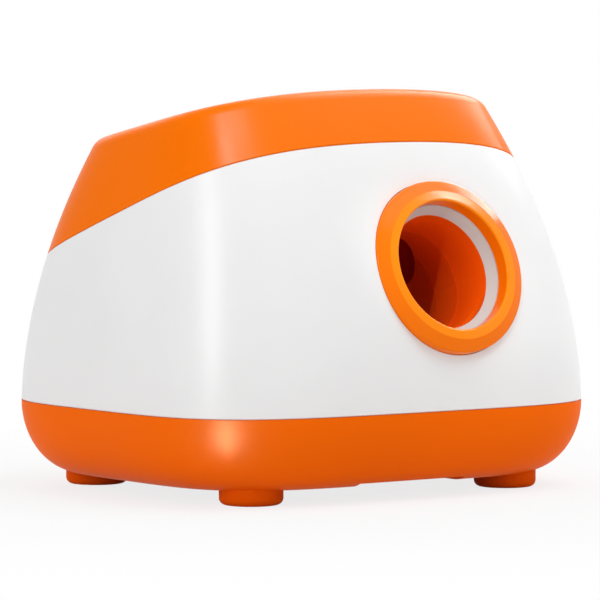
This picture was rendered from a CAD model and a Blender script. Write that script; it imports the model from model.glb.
import bpy
import bmesh
from math import cos, pi, radians, sin
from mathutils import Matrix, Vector


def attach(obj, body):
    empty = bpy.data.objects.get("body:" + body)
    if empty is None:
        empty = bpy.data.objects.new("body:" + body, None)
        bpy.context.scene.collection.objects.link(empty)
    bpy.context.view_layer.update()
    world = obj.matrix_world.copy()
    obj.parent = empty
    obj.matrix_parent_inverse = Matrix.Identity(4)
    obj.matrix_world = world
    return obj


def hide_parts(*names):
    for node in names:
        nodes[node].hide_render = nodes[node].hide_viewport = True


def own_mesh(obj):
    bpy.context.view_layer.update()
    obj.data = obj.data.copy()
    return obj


# Automatic ball launcher for a dog: finishes, printed marks, a spring that shortens, and the studio
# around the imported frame. Metres, in the frame of the CAD model.

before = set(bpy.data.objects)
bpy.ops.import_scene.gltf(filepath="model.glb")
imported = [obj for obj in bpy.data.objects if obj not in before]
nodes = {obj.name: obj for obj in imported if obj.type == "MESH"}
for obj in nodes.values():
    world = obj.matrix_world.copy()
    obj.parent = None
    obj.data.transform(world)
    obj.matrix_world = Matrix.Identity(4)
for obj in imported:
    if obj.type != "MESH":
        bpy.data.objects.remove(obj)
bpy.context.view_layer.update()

# Camera, fitted to the photograph: angles in degrees, lengths in metres, pixels of the photograph
view_azimuth = -36.22
view_elevation = 3.14
view_distance = 2.0
view_reach = 50.0
view_target = Vector((0.0, 0.00297, 0.0828))
photo_width = 600
focal_pixels = 4120
target_drop_pixels = 14.35
sensor_width_mm = 36.0

# Rear panel, as in the CAD model: the middle of its face, its axes, and places across and up it
panel_middle = Vector((-0.036, 0.101485, 0.084223))
panel_normal = Vector((0.0, 0.974912, 0.222592))
panel_across = Vector((-1.0, 0.0, 0.0))
panel_up = panel_normal.cross(panel_across)
power_place = (-0.014, 0.0)
distance_place = (0.016, 0.0)
lens_places = (-0.007, 0.0, 0.007)

# Marks printed on the rear panel and its buttons. The ring's gap is an angle in degrees each way.
mark_thickness = 0.00008
mark_width = 0.0009
power_ring_radius = 0.0036
power_ring_gap = 34.0
power_ring_steps = 48
power_bar_span = (0.0012, 0.0052)
chevron_half_width = 0.0028
chevron_rise = 0.0024
chevron_places = (-0.0028, 0.0, 0.0028)
level_rise = 0.0142
level_lengths = (0.0016, 0.0032, 0.0048)

# Launch axis, as in the CAD model. Depths are taken along it, behind the muzzle.
muzzle_point = Vector((0.01775, -0.0914806, 0.1089))
launch_axis = Vector((0.0, 0.948876, -0.315649))
launch_up = Vector((0.0, 0.315649, 0.948876))
launch_side = launch_axis.cross(launch_up)

# Striker spring, between the striker's flange and the bulkhead
flange_back_depth = 0.111
bulkhead_depth = 0.158
spring_gap = 0.00015
spring_radius = 0.009
spring_wire_radius = 0.0009
spring_turns = 8
spring_closed_turns = 1
spring_steps = 32
spring_sides = 10

# Feed stub on the barrel: outside the bore's radius and behind this depth
feed_inner_radius = 0.0279
feed_front_depth = 0.035

# Shade in the bore: the depths between which it grows, and what each step adds
bore_fade_depths = (0.012, 0.05)
bore_fade_share = 0.38
bore_step_depths = (0.0308, 0.0468)
bore_step_shares = (0.12, 0.08)

# Land of the bezel: inside its ridge and ahead of this depth
ridge_radius = 0.0361
land_back_depth = -0.0028

# Colours, linear
orange_base = (0.97, 0.146, 0.001)
orange_cover = (0.97, 0.177, 0.001)
orange_bezel = (0.96, 0.185, 0.001)
orange_land = (0.98, 0.255, 0.004)
orange_barrel = (0.95, 0.115, 0.002)
orange_foot = (0.78, 0.1, 0.001)
feed_dark = (0.2, 0.006, 0.003)
shell_white = (0.87, 0.87, 0.87)
collar_white = (0.59, 0.58, 0.56)
panel_grey = (0.055, 0.058, 0.062)
chassis_grey = (0.09, 0.092, 0.1)
part_black = (0.012, 0.012, 0.013)
rubber_black = (0.009, 0.009, 0.009)
gear_ivory = (0.66, 0.62, 0.52)
steel_grey = (0.55, 0.56, 0.58)
bronze_tint = (0.62, 0.38, 0.14)
board_green = (0.008, 0.075, 0.028)
cell_blue = (0.03, 0.05, 0.09)
lens_green = (0.06, 0.5, 0.12)
mark_white = (0.72, 0.72, 0.72)

# Roughness of each finish
base_roughness = 0.44
cover_roughness = 0.3
bezel_roughness = 0.13
duct_roughness = 0.36
shell_roughness = 0.34
collar_roughness = 0.4
foot_roughness = 0.5
panel_roughness = 0.42
lens_roughness = 0.12
chassis_roughness = 0.5
part_roughness = 0.4
rubber_roughness = 0.75
gear_roughness = 0.45
board_roughness = 0.3
cell_roughness = 0.28
print_roughness = 0.5
plate_roughness = 0.32
bright_roughness = 0.22
bronze_roughness = 0.35

# Strength of the plain reflection of each plastic
plain_specular = 0.05
orange_specular = 0.022
bezel_specular = 0.085
foot_specular = 0.01
cell_specular = 0.4

# Textures: waves per metre, levels of detail, depths in metres, and shares of a colour or a roughness.
# Most values of a noise lie in its span.
noise_span = (0.3, 0.7)
whole_range = (0.0, 1.0)
cloud_scale = 9.0
cloud_detail = 3.0
cloud_shares = (0.97, 1.03)
grain_scale = 1400.0
grain_detail = 2.0
grain_depth = 0.00003
coarse_depth = 0.00006
grain_gloss_shares = (0.85, 1.15)
drawn_detail = 3.0
drawn_depth = 0.00001
drawn_gloss_shares = (0.7, 1.3)
plate_stretch = (1.0, 0.08, 1.0)
bright_stretch = (0.2, 1.0, 1.0)
bronze_stretch = (1.0, 1.0, 0.3)

# Floor and surround: near white to the camera, less so around the object, where the shadow falls
floor_half = 6.0
floor_colour = (0.74, 0.74, 0.74, 1.0)
floor_white_share = 0.8
floor_fade_reach = (0.1, 0.45)
surround_white = (1.0, 1.0, 1.0, 1.0)
world_light = 0.565

# Soft lamps: azimuth and elevation in degrees, width and height in metres, power in watts
lamp_distance = 1.6
soft_lamps = {
    "overhead": (38.0, 64.0, 1.4, 1.0, 12.8),
    "right_box": (55.0, 25.0, 0.9, 0.9, 1.9),
    "left_box": (-80.0, 14.0, 0.9, 0.9, 5.9),
    "rear_box": (160.0, 34.0, 1.2, 1.0, 7.0),
}

# Lamps that show only as reflections, in the same way, and the CAD nodes that show them
gloss_lamps = {
    "near_gloss": (-72.0, 26.0, 0.5, 1.4, 120.0),
    "cap_gloss": (-12.0, 65.0, 0.4, 0.3, 34.0),
    "cap_edge_gloss": (-40.0, 58.0, 0.3, 0.3, 62.0),
    "right_gloss": (108.0, 40.0, 0.8, 0.9, 42.0),
    "land_gloss": (49.0, 34.5, 0.12, 0.25, 7.0),
}
gloss_nodes = {
    "near_gloss": ("main_shell",),
    "cap_gloss": ("top_cover",),
    "cap_edge_gloss": ("top_cover",),
    "right_gloss": ("main_shell", "top_cover", "muzzle_bezel", "base_tray"),
    "land_gloss": ("muzzle_bezel",),
}

# Spot into the muzzle: angles in degrees
spot_azimuth = -50.0
spot_elevation = 30.0
spot_cone = 2.15
spot_blend = 0.2
spot_radius = 0.02
spot_power = 41.0

# Card by the floor, which the base's near corner mirrors: its place from that corner, and its lean
near_corner = Vector((-0.1068, -0.0812, 0.036))
card_azimuth = -53.0
card_fall = -11.0
card_lean = -60.0
card_distance = 0.064
card_width = 0.034
card_length = 0.094
card_power = 1.95
card_warm = (1.0, 1.0, 0.66)


def set_socket(tree, socket, value):
    """Give a socket the output of another, or a fixed value."""
    if isinstance(value, bpy.types.NodeSocket):
        tree.links.new(value, socket)
    else:
        socket.default_value = value


def object_place(tree):
    """Where a point of the surface lies, in object coordinates."""
    return tree.nodes.new("ShaderNodeTexCoord").outputs["Object"]


def add_math(tree, operation, first, second):
    """A sum on two numbers, each a socket or fixed."""
    node = tree.nodes.new("ShaderNodeMath")
    node.operation = operation
    set_socket(tree, node.inputs[0], first)
    set_socket(tree, node.inputs[1], second)
    return node.outputs["Value"]


def add_vector_math(tree, operation, first, second=None):
    """A sum on a vector, or on two: all its outputs."""
    node = tree.nodes.new("ShaderNodeVectorMath")
    node.operation = operation
    set_socket(tree, node.inputs[0], first)
    if second is not None:
        set_socket(tree, node.inputs[1], second)
    return node.outputs


def add_range(tree, source, span, result, curve="LINEAR"):
    """Carry a number over from one range to another."""
    carry = tree.nodes.new("ShaderNodeMapRange")
    carry.interpolation_type = curve
    for name, value in zip(("From Min", "From Max", "To Min", "To Max"), (*span, *result)):
        carry.inputs[name].default_value = value
    tree.links.new(source, carry.inputs["Value"])
    return carry.outputs["Result"]


def add_noise(tree, place, scale, detail):
    """A noise texture over places."""
    noise = tree.nodes.new("ShaderNodeTexNoise")
    noise.inputs["Scale"].default_value = scale
    noise.inputs["Detail"].default_value = detail
    tree.links.new(place, noise.inputs["Vector"])
    return noise.outputs["Fac"]


def add_mix(tree, share, first, second):
    """A colour between two, each a socket or fixed."""
    mix = tree.nodes.new("ShaderNodeMix")
    mix.data_type = "RGBA"
    set_socket(tree, mix.inputs["Factor"], share)
    set_socket(tree, mix.inputs["A"], first)
    set_socket(tree, mix.inputs["B"], second)
    return mix.outputs["Result"]


def shaded(colour, share):
    """A colour made darker or lighter, and opaque."""
    return (*[min(1.0, channel * share) for channel in colour], 1.0)


def new_material(name):
    """A new node material, its tree and its shader."""
    material = bpy.data.materials.new(name)
    material.use_nodes = True
    return material, material.node_tree, material.node_tree.nodes["Principled BSDF"]


def add_surface(tree, shader, colour, cloud, roughness, gloss_shares, grain, depth):
    """A colour that drifts with one texture, and a gloss and a fine relief that follow another."""
    drift = add_range(tree, cloud, noise_span, whole_range)
    tint = add_mix(tree, drift, *[shaded(colour, share) for share in cloud_shares])
    gloss = add_range(tree, grain, noise_span, [roughness * share for share in gloss_shares])
    bump = tree.nodes.new("ShaderNodeBump")
    bump.inputs["Strength"].default_value = 1.0
    bump.inputs["Distance"].default_value = depth
    tree.links.new(grain, bump.inputs["Height"])
    tree.links.new(tint, shader.inputs["Base Color"])
    tree.links.new(gloss, shader.inputs["Roughness"])
    tree.links.new(bump.outputs["Normal"], shader.inputs["Normal"])


def plastic(name, colour, roughness, specular=plain_specular, depth=grain_depth):
    """Moulded plastic: a slow drift of colour, a fine grain and a soft gloss."""
    material, tree, shader = new_material(name)
    place = object_place(tree)
    cloud = add_noise(tree, place, cloud_scale, cloud_detail)
    grain = add_noise(tree, place, grain_scale, grain_detail)
    add_surface(tree, shader, colour, cloud, roughness, grain_gloss_shares, grain, depth)
    shader.inputs["Specular IOR Level"].default_value = specular
    return material


def metal(name, colour, roughness, stretch):
    """Metal with a fine drawn grain along one axis."""
    material, tree, shader = new_material(name)
    mapping = tree.nodes.new("ShaderNodeMapping")
    mapping.inputs["Scale"].default_value = stretch
    tree.links.new(object_place(tree), mapping.inputs["Vector"])
    drawn = add_noise(tree, mapping.outputs["Vector"], grain_scale, drawn_detail)
    add_surface(tree, shader, colour, drawn, roughness, drawn_gloss_shares, drawn, drawn_depth)
    shader.inputs["Metallic"].default_value = 1.0
    return material


def add_launch_frame(tree):
    """Depth behind the muzzle, and the square of the distance from the launch axis."""
    offset = add_vector_math(tree, "SUBTRACT", object_place(tree), muzzle_point)["Vector"]
    depth = add_vector_math(tree, "DOT_PRODUCT", offset, launch_axis)["Value"]
    reach = add_vector_math(tree, "LENGTH", offset)["Value"]
    reach_square = add_math(tree, "MULTIPLY", reach, reach)
    depth_square = add_math(tree, "MULTIPLY", depth, depth)
    return depth, add_math(tree, "SUBTRACT", reach_square, depth_square)


def repaint(material, colour, share):
    """Mix a second colour into a material's own by a share."""
    tree = material.node_tree
    base = tree.nodes["Principled BSDF"].inputs["Base Color"]
    tree.links.new(add_mix(tree, share, base.links[0].from_socket, (*colour, 1.0)), base)
    return material


def darken_bore(material):
    """Make the barrel's material darker down the bore and at each step, and dark in the feed stub."""
    tree = material.node_tree
    depth, radius_square = add_launch_frame(tree)
    outside = add_math(tree, "GREATER_THAN", radius_square, feed_inner_radius ** 2)
    behind = add_math(tree, "GREATER_THAN", depth, feed_front_depth)
    stub = add_math(tree, "MULTIPLY", outside, behind)
    fade = add_range(tree, depth, bore_fade_depths, (0.0, bore_fade_share))
    share = add_math(tree, "ADD", stub, fade)
    for step_depth, step_share in zip(bore_step_depths, bore_step_shares):
        past = add_math(tree, "GREATER_THAN", depth, step_depth)
        share = add_math(tree, "ADD", share, add_math(tree, "MULTIPLY", past, step_share))
    return repaint(material, feed_dark, add_math(tree, "MINIMUM", share, 1.0))


def lighten_land(material):
    """Make the bezel's material lighter on the land inside its ridge."""
    tree = material.node_tree
    depth, radius_square = add_launch_frame(tree)
    inside = add_math(tree, "LESS_THAN", radius_square, ridge_radius ** 2)
    ahead = add_math(tree, "LESS_THAN", depth, land_back_depth)
    return repaint(material, orange_land, add_math(tree, "MULTIPLY", inside, ahead))


def clad(material, *names):
    """Give CAD nodes one material."""
    for name in names:
        mesh = nodes[name].data
        mesh.materials.clear()
        mesh.materials.append(material)


def new_piece(name, mesh, material, body):
    """Turn a finished bmesh into a piece that rides on a CAD body."""
    bmesh.ops.recalc_face_normals(mesh, faces=mesh.faces)
    data = bpy.data.meshes.new(name)
    mesh.to_mesh(data)
    mesh.free()
    data.materials.append(material)
    piece = bpy.data.objects.new(name, data)
    bpy.context.scene.collection.objects.link(piece)
    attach(piece, body)
    return piece


def face_level(name):
    """How far out along the panel's normal a CAD node reaches."""
    return max(panel_normal.dot(vertex.co) for vertex in nodes[name].data.vertices)


def make_mark(name, host, body, material, strips):
    """A thin raised print on the face of a rear piece, from strips of point pairs on the panel."""
    out = face_level(host) - panel_normal.dot(panel_middle)
    mesh = bmesh.new()
    for strip in strips:
        rows = []
        for pair in strip:
            places = [panel_middle + panel_across * x + panel_up * y + panel_normal * out for x, y in pair]
            rows.append([mesh.verts.new(place) for place in places])
        for row, following in zip(rows, rows[1:]):
            mesh.faces.new((row[0], row[1], following[1], following[0]))
    raised = bmesh.ops.extrude_face_region(mesh, geom=mesh.faces[:], use_keep_orig=True)
    corners = [part for part in raised["geom"] if isinstance(part, bmesh.types.BMVert)]
    bmesh.ops.translate(mesh, vec=panel_normal * mark_thickness, verts=corners)
    new_piece(name, mesh, material, body)


def bar_strip(middle, half_length, half_height):
    """A straight bar on the panel."""
    x, y = middle
    return [((end, y - half_height), (end, y + half_height)) for end in (x - half_length, x + half_length)]


def ring_strip(middle, radius, gap):
    """A ring on the panel, open at the top by an angle each way."""
    x, y = middle
    pairs = []
    for step in range(power_ring_steps + 1):
        turn = gap + 2 * (pi - gap) * step / power_ring_steps
        pairs.append([
            (x + sin(turn) * reach, y + cos(turn) * reach)
            for reach in (radius - mark_width / 2, radius + mark_width / 2)
        ])
    return pairs


def chevron_strip(middle, rise):
    """A chevron on the panel that points up."""
    x, y = middle
    foot = y + rise
    tops = ((x - chevron_half_width, foot), (x, foot + chevron_rise), (x + chevron_half_width, foot))
    return [((across, top - mark_width), (across, top)) for across, top in tops]


def coil_place(turn, length):
    """How far along the spring its wire has come after some turns, with closed turns at both ends."""
    closed_pitch = 2 * spring_wire_radius
    closed_length = spring_closed_turns * closed_pitch
    if turn < spring_closed_turns:
        return turn * closed_pitch
    if turn > spring_turns - spring_closed_turns:
        return length - (spring_turns - turn) * closed_pitch
    open_pitch = (length - 2 * closed_length) / (spring_turns - 2 * spring_closed_turns)
    return closed_length + (turn - spring_closed_turns) * open_pitch


def make_spring(material):
    """The striker's coil spring, which shortens as the striker is drawn back."""
    front = flange_back_depth + spring_gap + spring_wire_radius
    length = bulkhead_depth - spring_gap - spring_wire_radius - front
    mesh = bmesh.new()
    rings = []
    for step in range(spring_turns * spring_steps + 1):
        turn = step / spring_steps
        outward = launch_up * cos(2 * pi * turn) + launch_side * sin(2 * pi * turn)
        middle = muzzle_point + launch_axis * (front + coil_place(turn, length)) + outward * spring_radius
        angles = [2 * pi * side / spring_sides for side in range(spring_sides)]
        rings.append([
            mesh.verts.new(middle + (outward * cos(angle) + launch_axis * sin(angle)) * spring_wire_radius)
            for angle in angles
        ])
    for ring, following in zip(rings, rings[1:]):
        for side in range(spring_sides):
            beside = (side + 1) % spring_sides
            face = mesh.faces.new((ring[side], ring[beside], following[beside], following[side]))
            face.smooth = True
    mesh.faces.new(rings[0])
    mesh.faces.new(rings[-1])
    spring = new_piece("spring_coil", mesh, material, "housing")
    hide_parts("striker_spring")
    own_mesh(spring)


def seen_share(tree):
    """One for camera, mirror and glass rays, and zero for the light that falls on the object."""
    path = tree.nodes.new("ShaderNodeLightPath")
    mirrored = add_math(tree, "MAXIMUM", path.outputs["Is Glossy Ray"], path.outputs["Is Transmission Ray"])
    return add_math(tree, "MAXIMUM", path.outputs["Is Camera Ray"], mirrored)


def make_floor():
    """A wide pale floor that stays near white to the camera and keeps a faint shadow."""
    mesh = bpy.data.meshes.new("studio_floor")
    sides = ((-1, -1), (1, -1), (1, 1), (-1, 1))
    mesh.from_pydata([(x * floor_half, y * floor_half, 0.0) for x, y in sides], [], [(0, 1, 2, 3)])
    floor = bpy.data.objects.new("studio_floor", mesh)
    bpy.context.scene.collection.objects.link(floor)
    material = bpy.data.materials.new("studio_floor")
    material.use_nodes = True
    mesh.materials.append(material)
    tree = material.node_tree
    tree.nodes.clear()
    matt = tree.nodes.new("ShaderNodeBsdfDiffuse")
    matt.inputs["Color"].default_value = floor_colour
    white = tree.nodes.new("ShaderNodeEmission")
    reach = add_vector_math(tree, "LENGTH", object_place(tree))["Value"]
    fade = add_range(tree, reach, floor_fade_reach, (floor_white_share, 1.0), "SMOOTHSTEP")
    mix = tree.nodes.new("ShaderNodeMixShader")
    tree.links.new(add_math(tree, "MULTIPLY", seen_share(tree), fade), mix.inputs["Fac"])
    tree.links.new(matt.outputs["BSDF"], mix.inputs[1])
    tree.links.new(white.outputs["Emission"], mix.inputs[2])
    output = tree.nodes.new("ShaderNodeOutputMaterial")
    tree.links.new(mix.outputs["Shader"], output.inputs["Surface"])


def make_world():
    """A white surround to the camera, and a softer even light on the object."""
    world = bpy.data.worlds.new("studio_world")
    bpy.context.scene.world = world
    world.use_nodes = True
    tree = world.node_tree
    background = tree.nodes["Background"]
    background.inputs["Color"].default_value = surround_white
    strength = add_range(tree, seen_share(tree), whole_range, (world_light, 1.0))
    tree.links.new(strength, background.inputs["Strength"])


def direction(azimuth, elevation):
    """Unit vector from the object towards a viewer at these angles."""
    turn = radians(azimuth)
    climb = radians(elevation)
    return Vector((sin(turn) * cos(climb), -cos(turn) * cos(climb), sin(climb)))


def stand(name, data, place, back):
    """Stand a lamp or a camera at a place, with its back to a direction."""
    stood = bpy.data.objects.new(name, data)
    stood.location = place
    stood.rotation_euler = back.to_track_quat("Z", "Y").to_euler()
    bpy.context.scene.collection.objects.link(stood)
    return stood


def add_panel(name, shape, width, height, power, place, back):
    """A flat lamp."""
    data = bpy.data.lights.new(name, "AREA")
    data.shape = shape
    data.size = width
    data.size_y = height
    data.energy = power
    return stand(name, data, place, back)


def add_lamp(name, azimuth, elevation, width, height, power):
    """A soft rectangular lamp that faces the object, placed by its angles."""
    back = direction(azimuth, elevation)
    return add_panel(name, "RECTANGLE", width, height, power, view_target + back * lamp_distance, back)


def keep_to_gloss(lamp, names):
    """Let a lamp show only as a reflection, in some CAD nodes."""
    lamp.visible_diffuse = False
    receivers = bpy.data.collections.new(lamp.name + "_receivers")
    for name in names:
        receivers.objects.link(nodes[name])
    lamp.light_linking.receiver_collection = receivers


def add_muzzle_spot():
    """A narrow soft spot from beside the camera, into the muzzle."""
    data = bpy.data.lights.new("muzzle_spot", "SPOT")
    data.energy = spot_power
    data.spot_size = radians(spot_cone)
    data.spot_blend = spot_blend
    data.shadow_soft_size = spot_radius
    back = direction(spot_azimuth, spot_elevation)
    stand("muzzle_spot", data, muzzle_point + back * lamp_distance, back)


def add_floor_card():
    """A bright leaning card before the near corner, seen only in the base's gloss."""
    place = near_corner + direction(card_azimuth, card_fall) * card_distance
    lean = direction(card_azimuth, card_lean)
    card = add_panel("floor_card", "ELLIPSE", card_width, card_length, card_power, place, lean)
    card.data.color = card_warm
    card.visible_camera = False
    keep_to_gloss(card, ["base_tray"])


def make_camera():
    """The photograph's camera."""
    data = bpy.data.cameras.new("photo_camera")
    data.sensor_width = sensor_width_mm
    data.lens = sensor_width_mm * focal_pixels / photo_width
    data.shift_y = target_drop_pixels / photo_width
    data.clip_end = view_reach
    back = direction(view_azimuth, view_elevation)
    bpy.context.scene.camera = stand("photo_camera", data, view_target + back * view_distance, back)


# Finishes of the casing
clad(plastic("base_orange", orange_base, base_roughness, orange_specular), "base_tray", "battery_door")
clad(plastic("cover_orange", orange_cover, cover_roughness, orange_specular), "top_cover", "power_button")
bezel_orange = plastic("bezel_orange", orange_bezel, bezel_roughness, bezel_specular)
clad(lighten_land(bezel_orange), "muzzle_bezel")
clad(plastic("hopper_orange", orange_base, duct_roughness, orange_specular), "hopper_bowl")
barrel_orange = plastic("barrel_orange", orange_barrel, duct_roughness, orange_specular)
clad(darken_bore(barrel_orange), "launch_barrel")
clad(plastic("shell_white", shell_white, shell_roughness), "main_shell", "distance_button")
clad(plastic("collar_white", collar_white, collar_roughness), "muzzle_collar")
clad(
    plastic("foot_orange", orange_foot, foot_roughness, foot_specular, coarse_depth),
    "foot_front_left",
    "foot_rear_left",
    "foot_front_right",
    "foot_rear_right",
)
clad(plastic("panel_grey", panel_grey, panel_roughness, depth=coarse_depth), "control_panel")
clad(plastic("lens_green", lens_green, lens_roughness), "indicator_lenses")

# Finishes of what is inside
clad(
    plastic("chassis_grey", chassis_grey, chassis_roughness),
    "chassis_deck",
    "battery_box",
    "barrel_saddle_1",
    "barrel_saddle_2",
)
clad(
    plastic("part_black", part_black, part_roughness),
    "ball_sensors",
    "board_components",
    "buzzer",
    "panel_switches",
    "dc_jack",
)
clad(
    plastic("rubber_black", rubber_black, rubber_roughness, depth=coarse_depth),
    "buffer_ring",
    "striker_pad",
)
clad(
    plastic("gear_ivory", gear_ivory, gear_roughness),
    "striker",
    "sector_gear",
    "reduction_gear",
    "idler_gear",
)
clad(plastic("board_green", board_green, board_roughness), "control_board", "switch_board")
clad(plastic("cell_blue", cell_blue, cell_roughness, cell_specular), "battery_cells")
clad(
    metal("steel_plated", steel_grey, plate_roughness, plate_stretch),
    "gear_plate_left",
    "gear_plate_right",
    "spring_bulkhead",
    "drive_motor",
)
steel_bright = metal("steel_bright", steel_grey, bright_roughness, bright_stretch)
clad(
    steel_bright,
    "main_axle",
    "idler_pin",
    "motor_shaft",
    "plate_screws",
    "motor_screws",
    "deck_screws",
    "case_screws",
    "muzzle_screws",
    "board_screws",
)
clad(
    metal("bronze", bronze_tint, bronze_roughness, bronze_stretch),
    "axle_bushes",
    "battery_contacts",
    "motor_pinion",
)

# Marks on the rear: a power sign, three chevrons for the distance, and a bar over each lens
print_white = plastic("print_white", mark_white, print_roughness)
print_grey = plastic("print_grey", panel_grey, print_roughness)
bar_middle = (power_place[0], sum(power_bar_span) / 2)
bar_half_height = (power_bar_span[1] - power_bar_span[0]) / 2
make_mark(
    "power_mark",
    "power_button",
    "power_key",
    print_white,
    [
        ring_strip(power_place, power_ring_radius, radians(power_ring_gap)),
        bar_strip(bar_middle, mark_width / 2, bar_half_height),
    ],
)
make_mark(
    "distance_mark",
    "distance_button",
    "distance_key",
    print_grey,
    [chevron_strip(distance_place, rise) for rise in chevron_places],
)
make_mark(
    "level_marks",
    "control_panel",
    "housing",
    print_white,
    [
        bar_strip((place, level_rise), length / 2, mark_width / 2)
        for place, length in zip(lens_places, level_lengths)
    ],
)
make_spring(steel_bright)

# Studio
make_floor()
make_world()
make_camera()
for lamp_name, lamp_values in soft_lamps.items():
    add_lamp(lamp_name, *lamp_values)
for lamp_name, lamp_values in gloss_lamps.items():
    keep_to_gloss(add_lamp(lamp_name, *lamp_values), gloss_nodes[lamp_name])
add_muzzle_spot()
add_floor_card()

bpy.context.scene.view_settings.view_transform = "Standard"
